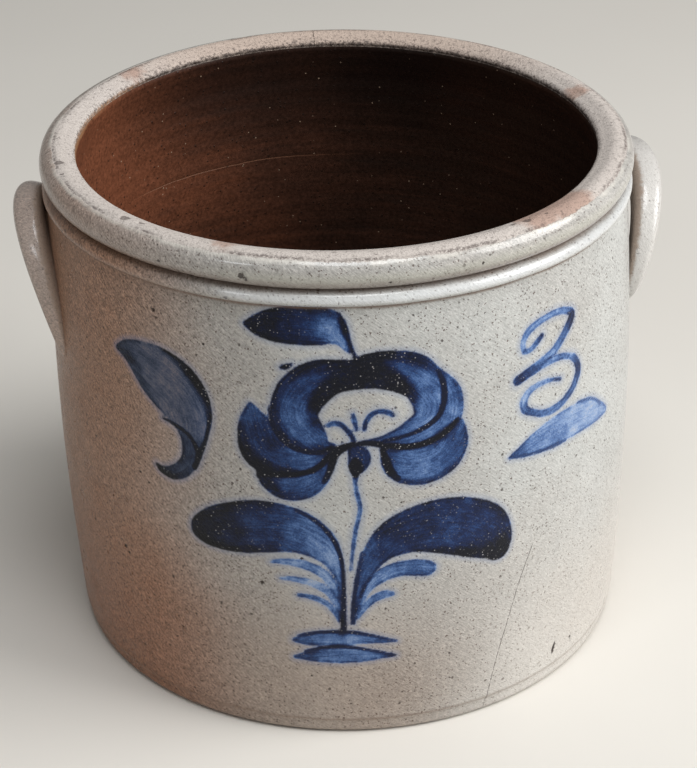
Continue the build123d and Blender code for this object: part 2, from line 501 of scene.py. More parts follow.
washes = {
    "petalUpperLeft": [
        (-4, 160.8, 0.8, 0.66), (-10, 161.4, 4.2, 0.56), (-15, 165.5, 8, 0.52), (-20, 172.5, 10.2, 0.52),
        (-21, 178.5, 10.8, 0.54), (-17.5, 186, 11.2, 0.56), (-11, 192, 10.3, 0.64),
        (-3.5, 194.6, 8.4, 0.83), (6, 195.2, 7.2, 0.98)],
    "petalUpperRight": [
        (6, 195.4, 7.4, 1), (14, 196.8, 8.8, 0.9), (22, 196.2, 9.6, 0.65), (30.5, 193.5, 10.4, 0.49),
        (36.5, 188, 9.8, 0.45), (42.5, 178.5, 11.8, 0.44), (41, 169, 11, 0.44), (30, 163.6, 7.4, 0.45),
        (20, 161.8, 4.2, 0.55), (12, 162, 1.8, 0.75), (7, 162, 0.8, 0.85)],
    "petalLowerRight": [
        (18, 157, 1.5, 0.74), (21, 152.4, 5.2, 0.64), (27, 149.2, 9.2, 0.46), (35, 148.6, 11, 0.42),
        (42.5, 151, 11, 0.46), (47, 155.3, 9.6, 0.54), (50, 161, 6.2, 0.56), (53, 166, 1.6, 0.54)],
    "petalLowerLeftBack": [
        (-40.5, 178.3, 1.6, 0.51), (-39.5, 172, 5.6, 0.58), (-37.5, 164.5, 9.6, 0.68),
        (-34.5, 156.4, 11.4, 0.69), (-26, 152.6, 8.4, 0.54), (-17, 152.5, 6, 0.49), (-10, 155, 4, 0.59),
        (-4, 158.5, 1.7, 0.86), (1, 160.3, 0.6, 0.96)],
    "petalLowerLeftFront": [
        (-38, 143.5, 1.3, 0.78), (-33, 140.5, 4.4, 0.68), (-26, 138.8, 6.8, 0.56),
        (-18.5, 140.2, 7.2, 0.5), (-12, 144.5, 5.5, 0.54), (-8, 149.5, 3.5, 0.63), (-5, 154.5, 2, 0.88),
        (0, 159.3, 1, 0.98)],
    "calyx": [(5, 158.5, 3.4, 0.8), (7, 154.5, 5.2, 0.74), (6, 150.5, 4.4, 0.8)],
    "stem": [
        (5, 146, 1.4, 0.75), (4.8, 141, 0.9, 0.5), (5.6, 135, 1, 0.48), (6.6, 130, 0.9, 0.48),
        (6.2, 125, 0.9, 0.45), (4.6, 118, 0.9, 0.46), (3.4, 110, 0.8, 0.42), (2.6, 103, 0.6, 0.38),
        (1.8, 96, 0.4, 0.35)],
    "feelerLeft": [
        (-6.5, 171, 0.8, 0.5), (-3.5, 172, 1.2, 0.55), (-0.5, 171, 1.3, 0.6), (2.5, 167.5, 1.2, 0.7),
        (4.5, 163.5, 1, 0.8), (5, 161, 0.9, 0.9)],
    "feelerMiddle": [(4.4, 176.3, 0.6, 0.55), (5, 173, 1.1, 0.6), (6, 168.8, 0.8, 0.6)],
    "feelerRight": [
        (9.3, 168.5, 0.8, 0.55), (10, 172, 1.1, 0.6), (12.5, 175.6, 1.1, 0.6), (16, 177, 1.1, 0.6),
        (20, 176, 1.2, 0.6), (22, 174.6, 0.9, 0.6)],
    "dab": [(-26, 198.2, 0.8, 0.85), (-24, 198.6, 1.2, 0.9), (-21.5, 200, 0.6, 0.8)],
    "leafTop": [
        (-41, 217.3, 1.8, 0.98), (-36, 217.3, 4.9, 0.95), (-29, 217.8, 7.8, 0.91),
        (-20, 218.4, 9.2, 0.83), (-11, 218.3, 9.2, 0.61), (-5, 218, 8, 0.35), (0, 213.5, 4.4, 0.31),
        (4, 207, 1.6, 0.33)],
    "leafTopStalk": [
        (-0.3, 224, 0.6, 0.9), (0.6, 221, 1.1, 0.92), (2.2, 215.5, 1.2, 0.9), (4, 209.5, 1, 0.85),
        (6, 204, 0.9, 0.9)],
    "leafLeft": [
        (-70, 108.5, 2.6, 0.9), (-65, 109.5, 8, 0.88), (-57, 112, 11.8, 0.82), (-47.5, 114.5, 13.6, 0.74),
        (-38, 116.6, 13.9, 0.68), (-28.5, 117, 12.8, 0.6), (-20.5, 115.3, 11.3, 0.48),
        (-13.8, 111.3, 9.2, 0.4), (-9.3, 106.8, 7, 0.36), (-6, 101, 4.8, 0.36), (-3.8, 94, 2.8, 0.4),
        (-2.5, 86, 1.8, 0.49), (-2.1, 77, 1.4, 0.59), (-2.1, 68, 1.3, 0.69), (-2.3, 61, 1.4, 0.79)],
    "leafRight": [
        (2.2, 66, 0.8, 0.67), (3, 74, 1.4, 0.67), (5, 83, 2.4, 0.57), (7, 90.5, 3.2, 0.52),
        (9.8, 97.5, 4.6, 0.53), (14, 104.5, 6.6, 0.63), (19.2, 109.8, 8.9, 0.71), (26, 113.4, 11.1, 0.73),
        (34.5, 115, 12.8, 0.73), (44, 114.3, 14.6, 0.69), (54, 111.4, 15.2, 0.65),
        (63.5, 106.4, 14.2, 0.69), (70, 99.7, 10.2, 0.79), (72.5, 94.2, 6.6, 0.95)],
    "frondLeftUpper": [
        (-34, 98.3, 0.5, 0.24), (-28, 99.2, 1.6, 0.26), (-20, 98.5, 2.4, 0.26), (-12, 94.8, 2.6, 0.24),
        (-7, 88.5, 2.2, 0.26), (-4, 80, 1.4, 0.34)],
    "frondLeftMiddle": [
        (-30, 89.8, 0.5, 0.2), (-23, 90, 1.4, 0.2), (-15, 88, 1.9, 0.2), (-9, 84, 1.9, 0.22),
        (-5, 77.5, 1.5, 0.26), (-3.2, 71, 1, 0.34)],
    "frondLeftLower": [
        (-22, 81.3, 0.8, 0.5), (-17, 80.8, 1.3, 0.36), (-11, 78.3, 1.5, 0.3), (-6.5, 73.8, 1.4, 0.3),
        (-3.5, 67.5, 1.1, 0.4)],
    "frondRightUpper": [
        (4, 72, 0.8, 0.36), (7.5, 82, 1.8, 0.32), (12, 88.8, 3, 0.32), (18, 93, 4, 0.34),
        (25, 94.6, 4.2, 0.38), (32, 94, 4.6, 0.42), (36.6, 92.8, 4.2, 0.46), (38.8, 92.4, 2.6, 0.48)],
    "frondRightLower": [
        (4, 69, 0.7, 0.36), (8, 75.5, 1.7, 0.32), (12.5, 79.8, 2.2, 0.38), (17, 81.5, 2.3, 0.46),
        (20, 81.3, 1.5, 0.51)],
    "moundUpper": [
        (-25, 55.5, 1.2, 0.65), (-19, 56.5, 3.6, 0.53), (-11, 57.2, 4.3, 0.43), (-2, 57.5, 4.1, 0.4),
        (7, 56.9, 3, 0.37), (15, 55.5, 1.6, 0.43), (22, 54.3, 0.3, 0.55)],
    "moundLower": [
        (-25, 45.6, 0.9, 0.7), (-19, 46.6, 2.9, 0.57), (-11, 47.4, 4.3, 0.43), (-2, 47.7, 4.8, 0.37),
        (8, 47.2, 3.6, 0.37), (15, 46.6, 1.9, 0.45), (21.5, 46, 0.5, 0.75)],
    "curledLeaf": [
        (-110.5, 188.6, 1.8, 0.6), (-104, 189.2, 5.4, 0.52), (-95, 187, 10, 0.39), (-86, 183, 14.4, 0.35),
        (-77.5, 178, 15.8, 0.35), (-71.8, 170.8, 13.2, 0.37), (-69.4, 162, 9, 0.39),
        (-70, 153, 5.4, 0.47), (-71.5, 145, 4.4, 0.58), (-75, 138.8, 4.4, 0.55), (-81, 134.8, 3.7, 0.6),
        (-87, 134.3, 2.2, 0.75), (-90, 136, 0.8, 0.8)],
    "numeralTop": [
        (97, 196, 1.2, 0.73), (94, 193.6, 1.5, 0.48), (90, 191.3, 1.2, 0.38), (86.4, 191.8, 1.3, 0.43),
        (86, 195.5, 1.6, 0.28), (88, 199.5, 1.8, 0.24), (93, 202.4, 1.9, 0.22), (100, 203.8, 1.6, 0.2),
        (107, 204, 1.7, 0.22), (113, 202.6, 1.8, 0.28), (117.6, 199.6, 2.2, 0.63),
        (115.8, 195.8, 2.6, 0.6), (111, 190.8, 2.5, 0.44), (105, 186, 2.4, 0.3), (100, 184.2, 2.2, 0.28),
        (94, 182, 2.6, 0.34), (87, 180, 2.6, 0.38), (82.5, 178.3, 2.6, 0.46)],
    "numeralBowl": [
        (82.5, 178.3, 2.4, 0.46), (90, 180, 2.2, 0.38), (98, 181.5, 2.2, 0.3), (106, 181.5, 1.8, 0.28),
        (113, 180, 1.6, 0.3), (118.3, 177, 1.8, 0.43), (121.4, 172, 2.2, 0.6), (121.4, 167, 2.4, 0.58),
        (117.5, 161.6, 2.2, 0.43), (111, 157.7, 2.1, 0.36), (104, 156.2, 2.2, 0.3), (97, 157, 1.9, 0.36),
        (90.5, 159.8, 1.8, 0.44), (86.5, 163, 2.3, 0.4), (86, 167, 2.4, 0.24), (88.5, 170.5, 1.9, 0.2),
        (94, 172.3, 1.4, 0.2), (100, 172.3, 1.1, 0.26), (105, 171.3, 0.9, 0.43), (109, 169.8, 0.6, 0.63)],
    "numeralLeaf": [
        (78, 140.5, 0.6, 0.58), (84, 141.8, 2.8, 0.53), (92, 143.3, 5.2, 0.38), (102, 144.3, 7.5, 0.32),
        (113, 144.4, 8.5, 0.28), (124, 143.6, 8.2, 0.2), (134, 141.2, 6.8, 0.19), (142, 138.5, 4.6, 0.19),
        (148, 136, 2, 0.19)],
}

# darker passes where the brush was loaded or turned, with soft edges
shades = {
    "innerBand": [
        (-9, 166, 1.5, 0.5), (-11.5, 172, 2.2, 0.8), (-12.3, 178, 2.8, 0.95), (-10.5, 184, 3.6, 1),
        (-5, 188.5, 4.6, 1), (2, 192, 6.8, 1), (10, 194.5, 7.5, 1), (18, 193, 6.2, 1),
        (25, 188.8, 4.2, 1), (30, 184.3, 2.8, 0.95), (31.6, 178.5, 1.8, 0.8), (30, 173.5, 1.2, 0.5)],
    "outerBand": [
        (-10, 158.6, 1.1, 0.76), (-18, 159.5, 1.4, 0.81), (-24.5, 163.6, 1.8, 0.86),
        (-28.6, 171, 1.9, 0.86), (-29.8, 178, 1.9, 0.86), (-28.3, 186, 1.6, 0.81),
        (-24, 192.4, 1.8, 0.81), (-16, 198, 2.1, 0.88), (-6, 200.3, 2.2, 0.92), (4, 200.5, 2.2, 0.96),
        (12, 202.3, 2.4, 0.96), (20, 203, 2.6, 0.96), (28, 202, 2.4, 0.91), (35, 198.8, 2.1, 0.86),
        (40, 194.8, 1.3, 0.76), (46, 190, 0.8, 0.66), (51, 184, 0.8, 0.61), (53, 176, 0.8, 0.56)],
    "lowerLeftEdge": [
        (-44, 172, 1.2, 0.5), (-45.5, 166, 2.2, 0.7), (-45.2, 159, 3.2, 0.95), (-42.5, 152, 4.5, 1),
        (-37, 147.5, 4, 1), (-29, 146.4, 2.4, 0.95), (-22, 146.8, 1.4, 0.9)],
    "lowerLeftFront": [
        (-36.5, 142, 1.6, 0.9), (-32, 138.6, 2.6, 0.9), (-28, 134.8, 1.4, 0.8), (-20, 134.2, 1, 0.6)],
    "lowerRightFoot": [
        (26, 141.2, 1.4, 0.7), (33, 138.8, 1.4, 0.65), (42, 140, 1.3, 0.65), (49, 144.2, 1.3, 0.65),
        (54, 151.5, 1.3, 0.6)],
    "leafTopLower": [
        (-39, 215.3, 1.2, 0.92), (-33, 212.8, 1.8, 0.94), (-25, 211.4, 1.6, 0.92),
        (-17, 210.8, 1.2, 0.86), (-10, 210.4, 0.9, 0.74)],
    "leafTopUpper": [
        (-34, 221, 1, 0.74), (-28, 224.6, 1.1, 0.76), (-18, 226.3, 1.1, 0.76), (-8, 226, 1, 0.78),
        (-2, 223.6, 0.9, 0.84)],
    "leafLeftLower": [
        (-70, 106, 2, 1), (-62, 102.8, 2.6, 1), (-52, 101.8, 2.2, 1), (-42, 103.6, 1.6, 1),
        (-32, 105.4, 1, 0.8)],
    "leafLeftUpper": [
        (-64, 117, 1.6, 0.95), (-55, 123.4, 1.6, 0.95), (-45, 127.8, 1.4, 0.9), (-34, 129.4, 1.2, 0.85)],
    "leafRightLower": [
        (28, 103.8, 0.9, 0.75), (38, 102.6, 1.2, 0.85), (46, 100.3, 1.8, 0.95), (54, 97.2, 2.4, 1),
        (62, 94.6, 3, 1), (69, 92.5, 4.2, 1), (75, 95, 3.4, 1), (78, 100.5, 1.6, 0.85)],
    "leafRightUpper": [
        (10, 110, 0.8, 0.7), (15.5, 118, 1, 0.75), (25, 124.8, 1, 0.75), (36, 127.6, 1, 0.75),
        (48, 127.4, 1, 0.75), (60, 123.8, 1.2, 0.75), (69.5, 117.2, 1.4, 0.78), (76, 108.5, 1.4, 0.8)],
    "curlOuter": [
        (-82, 196.4, 1.2, 0.7), (-78, 195.4, 1.8, 0.85), (-72, 191, 2.6, 0.95), (-65.5, 184.5, 2.8, 0.97),
        (-61, 176, 2, 0.95), (-59.8, 168, 1.2, 0.85)],
    "curlTip": [(-109, 187.4, 2.2, 0.75), (-103, 185.7, 2.2, 0.75), (-98, 183, 1.4, 0.6)],
    "curlFold": [
        (-103, 185, 2.4, 0.62), (-96, 176.5, 1.6, 0.56), (-90, 169, 1.2, 0.52), (-85.5, 162.5, 0.9, 0.5)],
    "curlHook": [
        (-74, 136, 1.4, 0.7), (-81, 132.9, 1.6, 0.85), (-87, 133.5, 1.8, 0.95), (-89.5, 135.8, 0.9, 0.95)],
    "stemFoot": [(-2.2, 66, 1.2, 0.85), (-2.5, 61.5, 1.9, 0.85)],
}

# fine dark lines drawn with the tip of the brush, with crisp edges
lines = {
    "ribRight": [
        (42.5, 193.5, 0.6, 0.84), (45, 187, 1.3, 0.89), (45.4, 179, 1.4, 0.89), (43, 171.8, 1.2, 0.89),
        (37, 167, 1, 0.89), (28, 163.8, 0.8, 0.86), (18, 162, 0.7, 0.86)],
    "ribMiddle": [
        (3, 161.4, 0.7, 0.96), (8, 161.5, 1, 0.96), (13, 161.2, 1.4, 0.98), (20, 159.6, 1.5, 1),
        (28, 158.2, 1.4, 1), (36, 158.6, 1.4, 1), (43, 161, 1.4, 1), (48, 164.4, 1.3, 1),
        (51.5, 167.8, 0.7, 0.98)],
    "ribLeft": [
        (-38, 144.8, 1.2, 1), (-30, 144.8, 1.3, 1), (-22, 145.6, 1.3, 1), (-14, 148, 1.2, 0.98),
        (-9.5, 151.5, 1.2, 0.98), (-6, 156, 1.2, 1), (-1, 159.8, 1.3, 1), (4, 161.4, 1.3, 1)],
    "lowerLeftInner": [
        (-9, 142.5, 0.9, 0.85), (-6.5, 147, 1.4, 0.95), (-5, 152, 1.7, 1), (-3.5, 156.5, 1.6, 1),
        (1, 160, 1.4, 1)],
    "lowerRightInner": [
        (16.8, 158, 1, 1), (18.6, 152, 1.9, 1), (20.4, 146.6, 1.9, 1), (23.6, 142.4, 1.3, 0.9)],
    "seed": [(5, 153.2, 1.5, 1), (5.2, 149.8, 3.4, 1), (5, 146, 1.6, 1)],
    "petalFoldLeft": [
        (-32, 178, 0.8, 0.84), (-30.6, 169.5, 1, 0.89), (-26.6, 162.8, 1.1, 0.89),
        (-20.5, 158.6, 1.1, 0.89), (-12, 157.2, 1, 0.89), (-5, 159, 0.8, 0.89)],
    "leafLeftVein": [
        (-22, 127.4, 0.6, 0.77), (-14.5, 122.8, 0.7, 0.82), (-9, 117.3, 0.8, 0.84),
        (-5, 110.5, 0.8, 0.87), (-2.6, 103, 0.8, 0.87), (-1.6, 94, 0.8, 0.87), (-1.6, 84, 0.8, 0.87),
        (-1.9, 72, 0.8, 0.87), (-2.1, 62, 0.9, 0.87)],
    "leafRightVein": [
        (1.6, 66, 0.6, 0.74), (2.4, 76, 0.8, 0.82), (3.6, 86, 0.8, 0.79), (5.3, 97, 0.7, 0.74),
        (7, 105, 0.6, 0.64)],
    "moundUpperLine": [
        (-23, 58.2, 0.7, 0.68), (-14, 60.8, 0.8, 0.78), (-4, 61.3, 0.9, 0.83), (5, 60.4, 0.8, 0.78),
        (13, 57.8, 0.6, 0.73), (21, 54.7, 0.4, 0.63)],
    "moundLowerLine": [
        (-20, 49.5, 0.7, 0.73), (-12, 52, 0.9, 0.83), (-3, 52.8, 0.9, 0.83), (6, 51.3, 0.7, 0.78),
        (14, 48.8, 0.6, 0.73), (21.5, 46.2, 0.4, 0.78)],
    "curlLineOuter": [
        (-60, 168, 0.8, 0.85), (-62.3, 158, 0.8, 0.85), (-65.5, 149, 1, 0.9), (-69, 141.5, 1.2, 0.9)],
    "curlLineInner": [
        (-84.5, 161.8, 0.6, 0.75), (-78, 160.2, 0.8, 0.85), (-72, 157.5, 0.8, 0.85), (-68, 152.5, 1, 0.9),
        (-66.8, 147, 1.2, 0.92), (-69, 141, 1.2, 0.9)],
    "numeralLeafLower": [
        (79, 140.4, 0.6, 0.6), (86, 138.9, 0.7, 0.6), (95, 137.6, 0.7, 0.6), (104, 136.7, 0.7, 0.6),
        (113, 136.3, 0.6, 0.5)],
    "numeralLeafUpper": [
        (122, 152.2, 0.6, 0.5), (131, 150.2, 0.6, 0.5), (138, 146.4, 0.6, 0.5), (143, 141.5, 0.5, 0.5)],
}


# where each point of the wall lies on the unrolled wall: mm across the design and mm of level
def unrollWall(places):
    bearing = np.arctan2(places[:, 0], -places[:, 1]) - math.radians(cobalt["bearing"])
    across = cobalt["wallRadius"] * np.arctan2(np.sin(bearing), np.cos(bearing))
    return np.stack([across, places[:, 2]], 1)


# for every point, how deep it lies in a stroke (mm, minus outside), the depth of colour there, and
# the way along and across the stroke, that the streaks follow
def measureStroke(spots, rows):
    track = smoothLine(rows, cobalt["spacing"])
    steps = np.diff(track[:, :2], axis=0, append=2 * track[-1:, :2] - track[-2:-1, :2])
    run = np.concatenate([[0], np.cumsum(np.hypot(*steps.T))[:-1]])
    depth = np.full(len(spots), -cobalt["reach"])
    colour = np.zeros(len(spots))
    way = np.zeros((len(spots), 2))
    low = (track[:, :2] - track[:, 2:3]).min(0) - cobalt["reach"]
    high = (track[:, :2] + track[:, 2:3]).max(0) + cobalt["reach"]
    near = np.flatnonzero(((spots > low) & (spots < high)).all(1))
    away = spots[near, None, :] - track[None, :, :2]
    depths = track[None, :, 2] - np.hypot(away[..., 0], away[..., 1])
    best = depths.argmax(1)
    (x, y), (stepX, stepY) = away[np.arange(len(near)), best].T, steps[best].T
    slim = np.clip(1 - track[best, 2] / cobalt["slimWidth"], 0, 1) * cobalt["slimGain"]
    depth[near] = np.maximum(depths.max(1) + slim, -cobalt["reach"])
    colour[near] = track[best, 3]
    way[near, 0] = run[best]
    way[near, 1] = (x * stepY - y * stepX) / np.maximum(np.hypot(stepX, stepY), 0.01)
    return depth, colour, way


def paintWall(piece, places):
    unrolled, levels = unrollWall(places), places[:, 2]
    front = np.flatnonzero((np.hypot(places[:, 0], places[:, 1]) > neckRadius - cobalt["wallSkin"])
                           & (np.abs(unrolled[:, 0]) < cobalt["halfSpan"])
                           & (levels > cobalt["lowest"]) & (levels < cobalt["highest"]))
    spots = unrolled[front]
    edge = lineEdge = np.full(len(front), -cobalt["reach"])
    bare = np.ones(len(front))
    course = np.zeros((len(front), 3))
    for order, rows in enumerate(washes.values()):
        depth, colour, way = measureStroke(spots, rows)
        bare *= 1 - colour * np.clip(0.5 + depth / cobalt["washSoftness"], 0, 1) * cobalt["cover"]
        inner = depth > edge
        course[inner, :2] = way[inner]
        course[inner, 2] = order * cobalt["streakStep"]
        edge = np.maximum(edge, depth)
    tone = 1 - bare
    for rows in shades.values():
        depth, colour = measureStroke(spots, rows)[:2]
        share = np.clip(0.5 + depth / cobalt["shadeSoftness"], 0, 1)
        tone = tone + (np.maximum(colour, tone) - tone) * share * share * (3 - 2 * share)
    lineTone = np.zeros(len(front))
    for rows in lines.values():
        depth, colour = measureStroke(spots, rows)[:2]
        lineTone = np.where(depth > lineEdge, colour, lineTone)
        lineEdge = np.maximum(lineEdge, depth)
    for name, values, blank in (("paintEdge", np.maximum(edge, lineEdge), -cobalt["reach"]),
                                ("paintTone", tone, 0.0), ("lineEdge", lineEdge, -cobalt["reach"]),
                                ("lineTone", lineTone, 0.0), ("brushCourse", course, 0.0)):
        whole = np.full((len(places), *values.shape[1:]), blank)
        whole[front] = values
        storeValues(piece, name, whole)


# Marks that the kiln and the years left. Across and level as for the painting, mm

marks = {
    "landRadius": 134.6,   # where the worn flat of the rim ends and the glaze begins,
    "landShift": 2.3,      # further out towards this bearing, degrees to the right of the front
    "landTurn": 40.0,
    "lipRadius": 122.7,    # the slip runs up over the inner lip to here,
    "lipFrom": 200.0,      # which is far above this level
    "farOff": -9.0,        # stored where a point is nowhere near the rim
    "topDepth": 8.0,       # mm under the crest that belong to the top of the rim
    "wallSkin": 4.0,       # mm, what lies this far inside the neck's radius isn't the outside
    "spotReach": 4.0,      # mm past its edge that a pit or chip is still measured
    "blushReach": 30.0,
    "crackReach": 6.0,
    "pitDepth": 0.55,
    "chipDepth": 0.4,
    "pits": [              # (across, level, half width)
        (-39, 86, 1.2), (-117, 80, 1.3), (-114.5, 77.5, 0.9), (-83, 48, 0.9), (112, 17.4, 1.3),
        (113, 20, 1.3), (111.2, 15, 0.9), (126, 17, 1.1), (127, 13.2, 1), (131.2, 16.6, 1),
        (106, 105, 0.7), (-18, 35, 0.8), (-134, 58, 1), (-134.5, 54, 0.8), (-42, 240.5, 1.7),
        (-40, 239, 1.2), (-82, 240, 1.1), (-88, 214, 1.2), (-86.5, 211, 0.9), (22, 238.5, 0.9),
        (64, 241, 0.8), (118, 186, 0.8), (138, 120, 0.8), (-60, 70, 0.9), (-101, 128, 0.9),
        (-92, 101, 0.8), (-62, 204, 0.8), (-20, 101.5, 0.9), (-128, 106, 0.8)],
    "chips": [             # where flakes have gone from the worn flat, (bearing, radius, half width)
        (-76, 131, 2.6), (-70, 132.5, 1.8), (-45, 130.5, 2.4), (-41, 129, 1.6), (39, 129.5, 2.2),
        (36, 127.8, 1.7), (44, 130.5, 1.2), (150, 134, 2), (-160, 135, 2.2), (100, 133, 1.6)],
    "blushes": [           # pinker stretches of the worn flat, (bearing, radius, half width)
        (50, 128, 17), (42, 129, 12), (-128, 130, 6), (-22, 128, 5), (112, 127, 5)],
    "crack": [             # (across, level, half width, depth of colour), from its top down
        (92, 87, 0, 1), (85, 70, 0, 1), (79, 50, 0, 1), (75.5, 38, 0, 1), (73, 28, 0, 1),
        (70.5, 16, 0, 1), (68, 4, 0, 1)],
    "crackFade": 2.0,      # mm, how soon the crack dies out past its ends
    "rimCrack": 185.0,     # degrees, a crack across the rim behind
}


# how deep each point lies in the deepest of some round spots on the rim, mm
def depthOnRim(bearing, radius, rows, reach):
    depth = np.full(len(radius), -reach)
    for turn, middle, size in rows:
        across = 2 * radius * np.sin((bearing - math.radians(turn)) / 2)
        depth = np.maximum(depth, size - np.hypot(across, radius - middle))
    return depth


def markBody(piece, places):
    spots, levels = unrollWall(places), places[:, 2]
    radius = np.hypot(places[:, 0], places[:, 1])
    bearing = spots[:, 0] / cobalt["wallRadius"]
    outside = radius > neckRadius - marks["wallSkin"]
    onTop = (levels > height - marks["topDepth"]) & (radius > mouthRadius - 0.5)
    shift = marks["landShift"] * np.cos(bearing - math.radians(marks["landTurn"]))

    pit = np.full(len(places), -marks["spotReach"])
    for across, level, size in marks["pits"]:
        pit = np.maximum(pit, size - np.hypot(spots[:, 0] - across, levels - level))
    pit = np.where(outside, pit, -marks["spotReach"])
    chip = depthOnRim(bearing, radius, marks["chips"], marks["spotReach"])
    chip = np.where(onTop, chip, -marks["spotReach"])

    # the way across a crack, and how much of it shows: the one in the wall, then the one in the rim
    near, _, way = measureStroke(spots, marks["crack"])
    aside = way[:, 1]
    onCrack = outside & (near > -marks["crackReach"])
    beyond = np.sqrt(np.maximum(near * near - aside * aside, 0))
    side = np.where(onCrack, aside, marks["crackReach"])
    fade = np.where(onCrack, np.clip(1 - beyond / marks["crackFade"], 0, 1), 0)
    turn = bearing - math.radians(marks["rimCrack"])
    across = onTop & (np.cos(turn) > 0.9)
    side = np.where(across, np.sin(turn) * radius, side)
    fade = np.where(across, np.clip(2 - np.abs(side) / marks["crackReach"], 0, 1), fade)

    # the grain of the wall runs on without a seam: it turns back under the two lugs
    turned = cobalt["wallRadius"] * np.arcsin(np.clip(np.sin(bearing), -1, 1))
    for name, values in {
        "landEdge": np.where(onTop, marks["landRadius"] - radius + shift, marks["farOff"]),
        "lipEdge": np.where(levels > marks["lipFrom"], marks["lipRadius"] - radius, marks["farOff"]),
        "blushEdge": depthOnRim(bearing, radius, marks["blushes"], marks["blushReach"]),
        "pitEdge": pit, "chipEdge": chip, "crackSide": side, "crackFade": fade,
        "behind": -np.cos(bearing), "levelHere": levels,
        "grainPlace": np.stack([turned, levels, radius * 0.5], 1),
    }.items():
        storeValues(piece, name, values)

    dent = marks["pitDepth"] * np.clip(pit + 0.3, 0, 1) * outside
    places[:, :2] *= (1 - dent / np.maximum(radius, 1))[:, None]
    places[:, 2] -= marks["chipDepth"] * np.clip(chip + 0.4, 0, 1)


# the thrown wall wavers a little, and the fired pot leans, as the real one does: its base stands to
# the right of its rim
def handThrown(places):
    bearing, level = np.arctan2(places[:, 1], places[:, 0]), places[:, 2]
    sway = sum(size * np.sin(around * bearing + rate * level + start)
               for size, around, rate, start in crock["waves"]) * np.clip(level / crock["wavesOver"], 0, 1)
    radius = np.maximum(np.hypot(places[:, 0], places[:, 1]), 1)
    behind = (np.clip(np.sin(bearing), 0, 1) ** 3
              * np.clip((level - crock["backFrom"]) / crock["backOver"], 0, 1))
    sway += crock["backReach"] * behind
    places[:, :2] *= (1 + sway * np.clip(radius / crock["wavesOut"], 0, 1) / radius)[:, None]
    places[:, 2] += crock["backRise"] * behind
    return leanOver(places)


def leanOver(places):
    bearing = math.radians(viewPoint["bearing"])
    share = crock["lean"] * (0.5 - places[:, 2] / height)
    places[:, 0] += share * math.cos(bearing)
    places[:, 1] -= share * math.sin(bearing)
    return places


def makeBody():
    turnOver = crock["fineTo"] - crock["fineFrom"]
    first = crock["fineFrom"] + cobalt["bearing"]
    sectors = [(first, first + turnOver, crock["fineColumns"]),
               (first + turnOver, first + 360, crock["otherColumns"])]
    body = turnOutline(bodyOutline(), sectors)
    places = readPoints(body)
    paintWall(body, places)
    markBody(body, places)
    writePoints(body, handThrown(places))
    body.data.materials.append(paintedClay())
    return namePiece("crock_body_clay", "salt_glazed_stoneware", "crock_body")


# The brown slip that coats the inside

lining = {
    "thickness": 0.6,
    "topLevel": 244.6,
    "ringDepth": 0.14,      # mm, the grooves that the fingers left
    "ringPitch": 9.5,
    "ringSway": 1.6,        # their pitch changes by this many radians
    "floorFade": 12.0,      # mm over which they begin above the floor
    "edgeFade": 10.0,
    "columns": 220,
    "row": 1.6,
    "cornerRow": 3.0,
    "edgeTurn": 50.0,       # degrees, sharper edges than this stay crisp
    "scratchLevel": 182.0,  # a long fine scratch from the left round to the back
}


# the face of the coat, from the middle of the floor up to its edge under the lip
def liningOutline():
    inset, corner = lining["thickness"], crock["cornerRadius"] - lining["thickness"]
    side = footRadius - crock["wallThickness"] - inset
    floor = crock["floorThickness"] + inset
    slope = corner * (1 - math.sqrt(0.5))
    throat = (neckRadius - crock["wallThickness"] - inset, crock["neckLevel"])
    drop = (lining["topLevel"] - throat[1]) / (crock["lipLevel"] - throat[1])
    edge = (throat[0] + (mouthRadius - 0.05 - throat[0]) * drop, lining["topLevel"])
    points = [(0, floor), (side * 0.4, floor), (side - corner, floor)]
    points += arcPoints(points[-1], (side - slope, floor + slope), (side, floor + corner),
                        lining["cornerRow"])
    points += arcPoints(points[-1], (bellyRadius - crock["wallThickness"] - inset, crock["bellyLevel"]),
                        throat, lining["row"])
    nearEdge = (edge[0] - inset, edge[1] - 2)
    points += [tuple(row) for row in smoothLine([throat, nearEdge, edge], lining["row"])[1:]]
    ringed = []
    for radius, level in points:
        turn = math.tau * level / lining["ringPitch"] + lining["ringSway"] * math.sin(level / 17)
        share = (min(1, max(0, (level - floor) / lining["floorFade"]))
                 * min(1, (lining["topLevel"] - level) / lining["edgeFade"]))
        ringed.append((radius - lining["ringDepth"] * (0.5 + 0.5 * math.sin(turn)) * share, level))
    return ringed


def makeLining():
    coat = turnOutline(liningOutline(), [(0, 360, lining["columns"])])
    places = readPoints(coat)
    storeValues(coat, "levelHere", places[:, 2])
    writePoints(coat, handThrown(places))
    thicken = coat.modifiers.new("thicken", "SOLIDIFY")
    thicken.thickness, thicken.offset = lining["thickness"] * mm, 1
    bpy.ops.object.modifier_apply(modifier="thicken")
    bpy.ops.object.shade_smooth_by_angle(angle=math.radians(lining["edgeTurn"]))
    coat.data.materials.append(brownSlip())
    return namePiece("slip_lining_coat", "brown_slip", "slip_lining")


# The lug handles: a flattened roll of clay, arched over and pressed on at its two thinned tips

